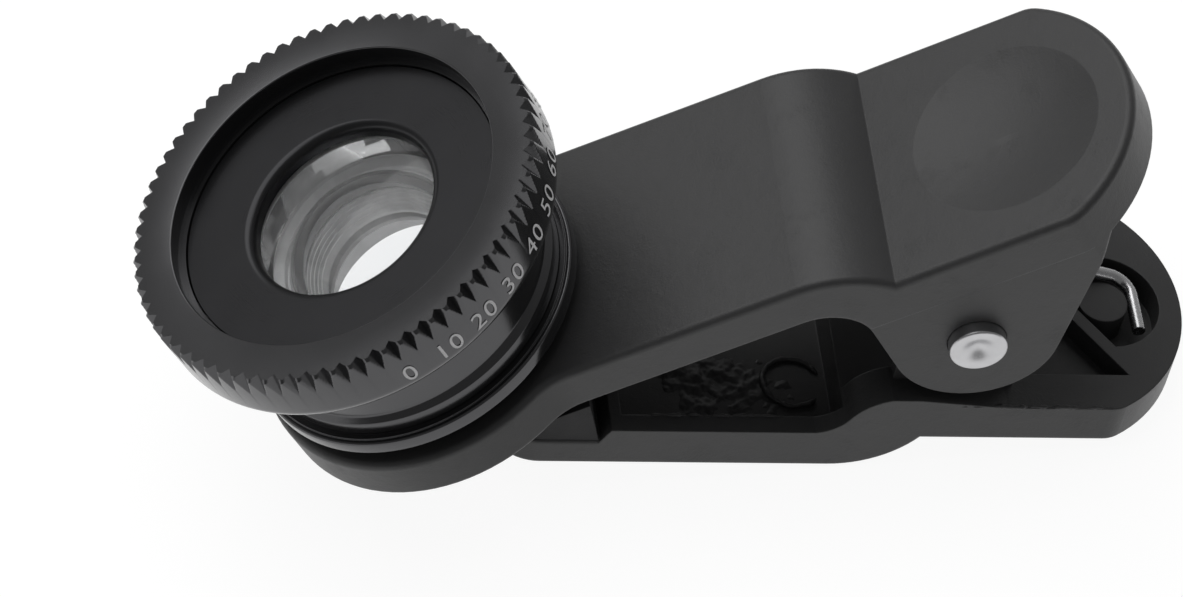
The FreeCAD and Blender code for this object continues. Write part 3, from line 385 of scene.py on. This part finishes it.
FINISHES = {
    "clip_plastic": clip_plastic,
    "pad_rubber": rubber,
    "washer_rubber": rubber,
    "pin_steel": lambda name: steel(name, 0.3),
    "spring_steel": lambda name: steel(name, 0.2),
    "lens_metal": lambda name: anodised_metal(name, "anodised", 0.14, 0.0012),
    "face_metal": lambda name: anodised_metal(name, "face", 0.24, 0.002),
    "inner_metal": inner_metal,
    "lens_glass": lens_glass,
    "scale_paint": scale_paint,
}


def finish_of(slot):
    """The material of a slot, made when it is first asked for."""
    name = f"{slot}_finish"
    return bpy.data.materials.get(name) or FINISHES[slot](name)


# Frames
def lens_frame():
    """Axes of the lens: origin on its axis at the underside of the jaw ring, X to the rear, Z to the front."""
    joint = JOINTS["lens_screw"]
    up = Vector(joint["axis"]).normalized()
    across = Vector((0, 1, 0))
    turn = Matrix((across.cross(up), across, up)).transposed().to_4x4()
    return Matrix.Translation(joint["pos_m"]) @ turn


def finished(name, mesh, body, slot, nodes=(), place=None, wound=None):
    """Put a mesh in the scene as a piece of the object. When wound is given, the piece's place is baked into its
    mesh and it is attached to no body; the second body, start and end of a twist that wound holds are not used.
    """
    piece = bpy.data.objects.new(name, mesh)
    bpy.context.collection.objects.link(piece)
    if place is not None:
        piece.matrix_world = place
    mesh.materials.append(finish_of(slot))
    if wound:
        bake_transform(piece)
    else:
        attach(piece, body)
    if nodes:
        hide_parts(*nodes)
    return piece


def smoothed(piece, angle=32):
    """Smooth shading with sharp edges above an angle, and flats that stay flat."""
    mesh = piece.data
    mesh.shade_smooth()
    mesh.set_sharp_from_angle(angle=math.radians(angle))
    weighted = piece.modifiers.new("flat faces", "WEIGHTED_NORMAL")
    weighted.keep_sharp = True


# Turned pieces
def softened(corners, closed=True, steps=5):
    """Round the corners of an outline. A corner is (radius, height) or (radius, height, rounding)."""
    outline = []
    count = len(corners)
    for index, corner in enumerate(corners):
        here = Vector(corner[:2])
        rounding = corner[2] if len(corner) > 2 else 0
        if not rounding or (not closed and index in (0, count - 1)):
            outline.append(here)
            continue
        before, after = Vector(corners[index - 1][:2]), Vector(corners[(index + 1) % count][:2])
        arrive, leave = (here - before).normalized(), (after - here).normalized()
        half_turn = arrive.angle(leave) / 2
        cut = rounding * math.tan(half_turn)
        start, end = here - arrive * cut, here + leave * cut
        centre = (start + end) / 2 + (leave - arrive).normalized() * rounding * math.cos(half_turn)
        for step in range(steps + 1):
            spoke = (start - centre).lerp(end - centre, step / steps).normalized()
            outline.append(centre + spoke * rounding)
    return outline


def dome(centre_height, radius, start, end, steps=24):
    """Points on a sphere centred on the axis, from one radius off the axis to another."""
    points = []
    side = math.copysign(1, radius)
    for step in range(steps + 1):
        reach = start + (end - start) * step / steps
        points.append(Vector((reach, centre_height + side * math.sqrt(radius * radius - reach * reach))))
    return points


def spun(outline, segments=256, closed=True, shape=None):
    """Mesh of an outline turned round the axis. shape(angle, radius, height) may move a radius."""
    mesh = bmesh.new()
    rings = []
    for point in outline:
        if point.x < 1e-7:
            rings.append([mesh.verts.new((0, 0, point.y))])
            continue
        ring = []
        for index in range(segments):
            angle = 2 * math.pi * index / segments
            radius = shape(angle, point.x, point.y) if shape else point.x
            ring.append(mesh.verts.new((radius * math.cos(angle), radius * math.sin(angle), point.y)))
        rings.append(ring)
    pairs = list(zip(rings, rings[1:]))
    if closed:
        pairs.append((rings[-1], rings[0]))
    for first, second in pairs:
        for index in range(segments):
            after = (index + 1) % segments
            corners = [first[index % len(first)], first[after % len(first)],
                       second[after % len(second)], second[index % len(second)]]
            corners = list(dict.fromkeys(corners))
            if len(corners) > 2:
                mesh.faces.new(corners)
    bmesh.ops.recalc_face_normals(mesh, faces=mesh.faces)
    data = bpy.data.meshes.new("spun")
    mesh.to_mesh(data)
    mesh.free()
    return data


def turned(name, corners, body, slot, nodes=(), segments=256, shape=None):
    """A lathe-turned piece in the axes of the lens."""
    mesh = spun(softened(corners), segments, shape=shape)
    piece = finished(name, mesh, body, slot, nodes, lens_frame())
    smoothed(piece)
    return piece


# Operators
class LENSCLIP_OT_stage(bpy.types.Operator):
    """Make the floor, the lights and the camera"""
    bl_idname = "lens_clip.stage"
    bl_label = "Stage"

    def execute(self, context):
        scene = context.scene
        settings = scene.stage_settings
        self.make_floor(scene)
        self.make_world(scene, settings)
        self.make_light(scene, settings)
        self.make_camera(scene, settings)
        scene.view_settings.view_transform = "Standard"
        return {"FINISHED"}

    def make_floor(self, scene):
        mesh = bpy.data.meshes.new("floor")
        reach = 3.0
        corners = [(-reach, -reach, 0), (reach, -reach, 0), (reach, reach, 0), (-reach, reach, 0)]
        mesh.from_pydata(corners, [], [(0, 1, 2, 3)])
        floor = bpy.data.objects.new("floor", mesh)
        scene.collection.objects.link(floor)
        finish = Finish("floor", Roughness=0.9)
        finish.set("Base Color", scene.finish_colours.floor)
        glow = finish.tree.nodes.new("ShaderNodeEmission")
        glow.inputs["Color"].default_value = (1, 1, 1, 1)
        glow.inputs["Strength"].default_value = FLOOR_WHITE
        rays = finish.tree.nodes.new("ShaderNodeLightPath")
        seen = [Varying(finish, rays.outputs[name])
                for name in ("Is Camera Ray", "Is Glossy Ray", "Is Transmission Ray")]
        mix = finish.tree.nodes.new("ShaderNodeMixShader")
        finish.feed(mix.inputs[0], (seen[0] + seen[1] + seen[2]) * scene.stage_settings.floor_glow)
        finish.tree.links.new(finish.shader.outputs[0], mix.inputs[1])
        finish.tree.links.new(glow.outputs[0], mix.inputs[2])
        finish.tree.links.new(mix.outputs[0], finish.tree.nodes["Material Output"].inputs["Surface"])
        mesh.materials.append(finish.material)

    def make_world(self, scene, settings):
        world = bpy.data.worlds.new("room")
        scene.world = world
        world.use_nodes = True
        room = Graph(world.node_tree)
        height = room.add("SeparateXYZ", {"Vector": room.add("TexCoord", output="Generated")}, output="Y")
        level = settings.world_dark + height.ramped(-0.35, 0.75) * (settings.world_level - settings.world_dark)
        room.feed(world.node_tree.nodes["Background"].inputs["Strength"], level)
        world.node_tree.nodes["Background"].inputs["Color"].default_value = (1, 1, 1, 1)

    def make_light(self, scene, settings):
        """One soft box above and behind the clip, to the left."""
        target = Vector((0, 0, 0.01))
        place = Vector(settings.light_place)
        light = bpy.data.lights.new("ceiling", "AREA")
        light.size = settings.light_size
        light.energy = settings.light_power
        lamp = bpy.data.objects.new("ceiling", light)
        scene.collection.objects.link(lamp)
        lamp.location = place
        lamp.rotation_euler = (target - place).to_track_quat("-Z", "Y").to_euler()

    def make_camera(self, scene, settings):
        data = bpy.data.cameras.new("camera")
        data.sensor_width = 36.0
        data.lens = settings.focal_length
        camera = bpy.data.objects.new("camera", data)
        camera.location = settings.camera_place
        camera.rotation_euler = settings.camera_turn
        scene.collection.objects.link(camera)
        scene.camera = camera


class LENSCLIP_OT_clip(bpy.types.Operator):
    """Finish the two arms, the pads, the pin and the spring"""
    bl_idname = "lens_clip.clip"
    bl_label = "Clip"

    def execute(self, context):
        slots = {part["node"]: part["material_slot"] for part in frame["record"]["subparts"]}
        for node in ("upper_arm", "lower_arm", "lower_jaw_pad", "upper_jaw_pad"):
            mesh = frame["nodes"][node].data
            mesh.materials.clear()
            mesh.materials.append(finish_of(slots[node]))
        self.make_pin(context.scene.clip_sizes)
        self.make_spring(context.scene.clip_sizes)
        return {"FINISHED"}

    def make_spring(self, size):
        """The spring, cut into its coil and two legs: each leg follows its arm, and the coil is attached to
        neither.
        """
        node = frame["nodes"]["torsion_spring"]
        pin = Vector(JOINTS["clip_hinge"]["pos_m"])
        start = pin + Vector((0, size.coil_start - size.wire_radius, 0))
        end = pin + Vector((0, size.coil_end + size.wire_radius, 0))

        def stretch(face):
            centre = face.calc_center_median() - pin
            if math.hypot(centre.x, centre.z) < size.coil_outside:
                return "coil"
            return "upper" if centre.z > 0 else "lower"

        for name in ("coil", "lower", "upper"):
            mesh = bmesh.new()
            mesh.from_mesh(node.data)
            bmesh.ops.transform(mesh, matrix=node.matrix_world, verts=mesh.verts)
            bmesh.ops.remove_doubles(mesh, verts=mesh.verts, dist=0.0005 * MM)
            other = [face for face in mesh.faces if stretch(face) != name]
            bmesh.ops.delete(mesh, geom=other, context="FACES")
            bmesh.ops.holes_fill(mesh, edges=[edge for edge in mesh.edges if edge.is_boundary])
            data = bpy.data.meshes.new(f"spring {name}")
            mesh.to_mesh(data)
            mesh.free()
            body, wound = (name, None) if name != "coil" else ("lower", ("upper", start, end))
            smoothed(finished(f"spring_{name}", data, body, "spring_steel", ["torsion_spring"], wound=wound))

    def make_pin(self, size):
        """The pin, whose ends are dished inside a rounded rim."""
        end = []
        steps = 8
        for step in range(steps + 1):
            part = step / steps
            depth = size.pin_dish * (0.5 + 0.5 * math.cos(math.pi * part))
            end.append((size.pin_rim * part, size.pin_half - depth))
        end.append((size.pin_radius, size.pin_half, size.pin_edge))
        far = [(corner[0], -corner[1], *corner[2:]) for corner in reversed(end)]
        mesh = spun(softened(end + far, closed=False), 128, closed=False)
        place = Matrix.Translation(JOINTS["clip_hinge"]["pos_m"]) @ Matrix.Rotation(math.pi / 2, 4, "X")
        smoothed(finished("pin", mesh, "lower", "pin_steel", ["pivot_pin"], place))


class LENSCLIP_OT_mount(bpy.types.Operator):
    """Make the mounting base and its washer"""
    bl_idname = "lens_clip.mount"
    bl_label = "Mount"

    def execute(self, context):
        size = context.scene.lens_sizes
        turned("seat_ring", [
            (size.stub_radius + size.fit, size.jaw_top),
            (size.washer_radius, size.jaw_top, 0.2 * MM),
            (size.washer_radius, size.flange_foot, 0.2 * MM),
            (size.stub_radius + size.fit, size.flange_foot),
        ], "carrier", "washer_rubber", ["seat_washer"])
        turned("base", [
            (size.stub_radius - size.stub_wall, size.stub_foot, 0.15 * MM),
            (size.stub_radius, size.stub_foot, 0.25 * MM),
            (size.stub_radius, size.flange_foot),
            (size.flange_radius, size.flange_foot, 0.12 * MM),
            (size.flange_radius, size.flange_top, 0.18 * MM),
            (size.lip_radius, size.flange_top, 0.04 * MM),
            (size.lip_radius, size.barrel_foot, 0.04 * MM),
            (size.web_bore, size.barrel_foot),
        ], "lens", "lens_metal", ["mounting_base"])
        return {"FINISHED"}


class LENSCLIP_OT_barrel(bpy.types.Operator):
    """Make the barrel, the knurled head and the face plate"""
    bl_idname = "lens_clip.barrel"
    bl_label = "Barrel and head"

    def execute(self, context):
        size = context.scene.lens_sizes
        step = size.collar_radius - size.barrel_radius
        turned("tube", [
            (size.web_bore, size.barrel_foot),
            (size.collar_radius, size.barrel_foot, 0.1 * MM),
            (size.collar_radius, size.collar_top, 0.15 * MM),
            (size.barrel_radius, size.collar_top + step, 0.2 * MM),
            (size.barrel_radius, size.barrel_top),
            (size.barrel_bore, size.barrel_top),
            (size.barrel_bore, size.web_top),
            (size.web_bore, size.web_top),
        ], "lens", "lens_metal", ["barrel"])
        self.make_head(size)
        self.make_scale(size, context.scene.scale_marks)
        turned("face", [
            (size.plate_bore, size.barrel_top),
            (size.seat_bore - size.fit, size.barrel_top),
            (size.seat_bore - size.fit, size.plate_top, 0.06 * MM),
            (size.plate_bore, size.plate_top, size.plate_round),
        ], "lens", "face_metal", ["face_plate"])
        return {"FINISHED"}

    def make_scale(self, size, marks):
        """Numbers printed round the plain band of the head, as one thin mesh."""
        mesh = bmesh.new()
        for index in range(marks.count):
            curve = bpy.data.curves.new("number", "FONT")
            curve.body = str(index * marks.step)
            curve.size = marks.height * 1.45
            curve.align_x = "CENTER"
            curve.space_character = 1.15
            text = bpy.data.objects.new("number", curve)
            flat = bpy.data.meshes.new_from_object(text)
            first = len(mesh.verts)
            mesh.from_mesh(flat)
            mesh.verts.ensure_lookup_table()
            middle = marks.start + index * marks.spacing
            for vertex in mesh.verts[first:]:
                angle = middle + vertex.co.x / size.head_radius
                height = marks.centre - marks.height / 2 + vertex.co.y
                reach = size.head_radius + marks.raised
                vertex.co = (reach * math.cos(angle), reach * math.sin(angle), height)
            bpy.data.objects.remove(text)
        data = bpy.data.meshes.new("scale")
        mesh.to_mesh(data)
        mesh.free()
        finished("scale", data, "lens", "scale_paint", place=lens_frame())

    def make_head(self, size):
        """The head ring, its rim cut by notches that run out behind the front."""
        per_notch = 14
        pitch = 2 * math.pi / size.knurl_count
        half_chord = size.head_radius * math.sin(pitch / 2)
        notch_foot = size.head_top - size.knurl_length

        def notched(angle, radius, height):
            if radius < size.head_radius - size.knurl_depth or height < notch_foot:
                return radius
            depth = size.knurl_depth * (height - notch_foot) / size.knurl_length
            off = abs((angle / pitch + 0.5) % 1 - 0.5) * 2 * half_chord
            floor = size.head_radius - depth + off * size.knurl_depth / half_chord
            return min(radius, floor)

        levels = 20
        rim = [(size.head_radius, notch_foot + (size.knurl_length - size.head_bevel) * step / levels)
               for step in range(levels + 1)]
        turned("head", [
            (size.barrel_radius + size.fit, size.head_foot),
            (size.head_radius, size.head_foot, size.head_round),
            *rim,
            (size.head_radius - size.head_bevel, size.head_top),
            (size.head_radius - size.knurl_depth, size.head_top),
            (size.bezel_bore, size.head_top, 0.1 * MM),
            (size.bezel_bore, size.seat_top),
            (size.seat_bore, size.seat_top),
            (size.seat_bore, size.barrel_top),
            (size.barrel_radius + size.fit, size.barrel_top),
        ], "lens", "lens_metal", ["knurled_head"], segments=size.knurl_count * per_notch, shape=notched)


class LENSCLIP_OT_optics(bpy.types.Operator):
    """Make the glasses and the rings that hold them"""
    bl_idname = "lens_clip.optics"
    bl_label = "Optics"

    def execute(self, context):
        size = context.scene.lens_sizes
        fit = size.fit
        turned("spacer", [
            (size.glass_waist + fit, size.sleeve_top, 0.1 * MM),
            (size.barrel_bore - fit, size.sleeve_top),
            (size.barrel_bore - fit, size.glass_step),
            (size.glass_waist + fit, size.glass_step, 0.1 * MM),
        ], "lens", "inner_metal", ["front_spacer"])
        turned("sleeve", [
            (size.exit_radius, size.web_top),
            (size.barrel_bore - fit, size.web_top),
            (size.barrel_bore - fit, size.sleeve_top),
            *self.sleeve_steps(size),
            (size.exit_radius, size.web_top + size.sleeve_lip, 0.1 * MM),
        ], "lens", "inner_metal", ["inner_sleeve"])
        turned("seal", [
            (size.glass_radius - size.seal_width, size.glass_top, 0.04 * MM),
            (size.glass_radius, size.glass_top, 0.04 * MM),
            (size.glass_radius, size.barrel_top, 0.04 * MM),
            (size.glass_radius - size.seal_width, size.barrel_top, 0.04 * MM),
        ], "lens", "washer_rubber", ["glass_seal"])
        edge_top = size.web_top - size.rear_crown - fit
        radius = size.web_bore - fit
        keeper_top = edge_top - size.rear_edge
        keeper_foot = keeper_top - size.keeper_height
        turned("keeper", [
            (radius - size.keeper_width, keeper_foot, 0.1 * MM),
            (radius, keeper_foot, 0.05 * MM),
            (radius, keeper_top),
            (radius - size.keeper_width, keeper_top, 0.05 * MM),
        ], "lens", "inner_metal", ["rear_retainer"])
        self.make_front_glass(size)
        self.make_rear_glass(radius, edge_top, size)
        return {"FINISHED"}

    def sleeve_steps(self, size, count=6):
        """Fine turned steps from the mouth of the sleeve down to the exit."""
        corners = [(size.sleeve_mouth, size.sleeve_top, 0.06 * MM)]
        depth = size.sleeve_top - size.web_top - size.sleeve_lip
        narrowing = size.sleeve_mouth - size.exit_radius
        for index in range(1, count):
            part = index / count
            height = size.sleeve_top - depth * part
            radius = size.sleeve_mouth - narrowing * part
            corners += [(radius + narrowing * 0.1, height), (radius, height, 0.03 * MM)]
        return corners

    def make_front_glass(self, size):
        """Deep meniscus: a shallow dome outside and a round hollow inside."""
        dome_edge = size.glass_waist + 0.1 * MM
        dome_centre = size.glass_top - math.sqrt(size.glass_dome ** 2 - dome_edge ** 2)
        hollow_centre = dome_centre + size.glass_dome - size.glass_middle - size.glass_bowl
        hollow = size.glass_waist - size.glass_waist_land
        bowl = dome(hollow_centre, size.glass_bowl, 0, hollow, 48)
        rim = size.glass_waist - size.glass_bevel
        outline = [
            *bowl,
            Vector((rim, bowl[-1].y)),
            Vector((size.glass_waist, bowl[-1].y + size.glass_bevel)),
            Vector((size.glass_waist, size.glass_step)),
            Vector((size.glass_radius, size.glass_step)),
            Vector((size.glass_radius, size.glass_top)),
            *dome(dome_centre, size.glass_dome, dome_edge, 0, 32),
        ]
        piece = finished("front_lens", spun(outline, closed=False), "lens", "lens_glass", ["front_glass"],
                         lens_frame())
        smoothed(piece, 20)

    def make_rear_glass(self, radius, edge_top, size):
        crown_radius = (radius ** 2 + size.rear_crown ** 2) / (2 * size.rear_crown)
        centre = edge_top + size.rear_crown - crown_radius
        foot = edge_top - size.rear_edge
        outline = [Vector((0, foot)), Vector((radius, foot)), *dome(centre, crown_radius, radius, 0, 24)]
        piece = finished("rear_lens", spun(outline, closed=False), "lens", "lens_glass", ["rear_glass"],
                         lens_frame())
        smoothed(piece, 20)


class LENSCLIP_OT_moulding(bpy.types.Operator):
    """Make the marks that moulding left on the lower arm"""
    bl_idname = "lens_clip.moulding"
    bl_label = "Moulding marks"

    def execute(self, context):
        size = context.scene.clip_sizes
        self.make_rough_patch(size)
        self.make_ring_mark(size)
        self.make_seams(size)
        return {"FINISHED"}

    def on_lower_arm(self, name, mesh, size):
        place = Matrix.Translation(JOINTS["clip_hinge"]["pos_m"]) @ Matrix.Rotation(size.fall, 4, "Y")
        piece = finished(name, mesh, "lower", "clip_plastic", place=place)
        smoothed(piece, 60)
        return piece

    def make_rough_patch(self, size):
        """Pebbled sheet on the jaw's floor, sunk below it round its edge."""
        columns, rows = 130, 60
        low, high = Vector(size.patch_low), Vector(size.patch_high)
        points, faces = [], []
        for row in range(rows + 1):
            for column in range(columns + 1):
                across, along = column / columns, row / rows
                x, y = low.x + (high.x - low.x) * across, low.y + (high.y - low.y) * along
                edge = min(across, 1 - across, along, 1 - along) * 5
                grain = noise.fractal(Vector((x, y, 0)) / (0.9 * MM), 0.6, 2.1, 4)
                blot = noise.noise(Vector((x, y, 3)) / (3.2 * MM))
                height = (grain * 0.16 + blot * 0.22 + min(edge, 1) * 0.2 - 0.17) * MM
                points.append((x, y, size.jaw_floor + max(height, -0.1 * MM)))
        stride = columns + 1
        for row in range(rows):
            for column in range(columns):
                first = row * stride + column
                faces.append((first, first + 1, first + 1 + stride, first + stride))
        mesh = bpy.data.meshes.new("rough patch")
        mesh.from_pydata(points, [], faces)
        self.on_lower_arm("rough_patch", mesh, size)

    def make_ring_mark(self, size):
        """Raised ring, not quite even, with a gap, on the jaw's floor."""
        middle = Vector((size.mark_x, size.mark_y, size.jaw_floor + 0.12 * MM))
        path = []
        for step in range(81):
            angle = math.radians(20 + 300 * step / 80)
            wave = noise.noise(Vector((math.cos(angle), math.sin(angle), 0)) * 2.3)
            reach = size.mark_radius * (1 + 0.05 * wave)
            path.append(middle + Vector((math.cos(angle) * reach, math.sin(angle) * reach, 0)))
        self.make_bead("ring_mark", path, 0.16 * MM, 0.5, size)

    def make_seams(self, size):
        """Ragged beads of flash along the edges of the walls."""
        seams = [
            ("wall_seam", (-17.5, 6.85, -8.52), (-9.5, 6.85, -8.52), 0.09, 0.9),
            ("rim_seam", (-2.5, 7.95, -5.99), (9.5, 7.95, -6.0), 0.1, 0.9),
            ("plateau_seam", (-2.6, 6.6, -5.75), (3.4, 5.7, -6.0), 0.12, 0.8),
        ]
        for name, start, end, thick, uneven in seams:
            first, last = Vector(start) * MM, Vector(end) * MM
            first.y, last.y = -first.y, -last.y
            path = []
            for step in range(121):
                point = first.lerp(last, step / 120)
                sway = noise.noise_vector(point / (0.8 * MM)) * 0.07 * MM
                path.append(point + sway)
            self.make_bead(name, path, thick * MM, uneven, size)

    def make_bead(self, name, path, thick, uneven, size):
        """A bead of plastic along a path, whose thickness wanders by the share uneven."""
        mesh = bmesh.new()
        rings = []
        sides = 8
        for index, point in enumerate(path):
            ahead = path[min(index + 1, len(path) - 1)] - path[max(index - 1, 0)]
            along = ahead.normalized()
            side = along.cross(Vector((0, 0, 1))).normalized()
            up = side.cross(along)
            taper = min(1, index / 4, (len(path) - 1 - index) / 4)
            wander = 1 + uneven * noise.fractal(point / (0.55 * MM), 0.7, 2, 3)
            reach = max(thick * taper * wander, thick * 0.02)
            rings.append([mesh.verts.new(point + (side * math.cos(turn) + up * math.sin(turn)) * reach)
                          for turn in (2 * math.pi * corner / sides for corner in range(sides))])
        for first, second in zip(rings, rings[1:]):
            for corner in range(sides):
                after = (corner + 1) % sides
                mesh.faces.new((first[corner], first[after], second[after], second[corner]))
        mesh.faces.new(reversed(rings[0]))
        mesh.faces.new(rings[-1])
        bmesh.ops.recalc_face_normals(mesh, faces=mesh.faces)
        data = bpy.data.meshes.new(name)
        mesh.to_mesh(data)
        mesh.free()
        self.on_lower_arm(name, data, size)


OPERATORS = (
    LENSCLIP_OT_stage,
    LENSCLIP_OT_clip,
    LENSCLIP_OT_moulding,
    LENSCLIP_OT_mount,
    LENSCLIP_OT_barrel,
    LENSCLIP_OT_optics,
)


class LENSCLIP_PT_panel(bpy.types.Panel):
    """Sidebar panel that lists the pieces"""
    bl_label = "Clip on phone lens"
    bl_idname = "LENSCLIP_PT_panel"
    bl_space_type = "VIEW_3D"
    bl_region_type = "UI"
    bl_category = "Phone lens"

    def draw(self, context):
        for operator in OPERATORS:
            self.layout.operator(operator.bl_idname)


SETTINGS = {
    "lens_sizes": LensSizes,
    "clip_sizes": ClipSizes,
    "scale_marks": ScaleMarks,
    "finish_colours": FinishColours,
    "stage_settings": StageSettings,
}


def register():
    for cls in (*SETTINGS.values(), *OPERATORS, LENSCLIP_PT_panel):
        bpy.utils.register_class(cls)
    for name, group in SETTINGS.items():
        setattr(bpy.types.Scene, name, PointerProperty(type=group))


def unregister():
    for name in SETTINGS:
        delattr(bpy.types.Scene, name)
    for cls in (LENSCLIP_PT_panel, *reversed(OPERATORS), *reversed(SETTINGS.values())):
        bpy.utils.unregister_class(cls)


def main():
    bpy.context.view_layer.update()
    register()
    for operator in OPERATORS:
        group, name = operator.bl_idname.split(".")
        getattr(getattr(bpy.ops, group), name)()


if __name__ == "__main__":
    main()
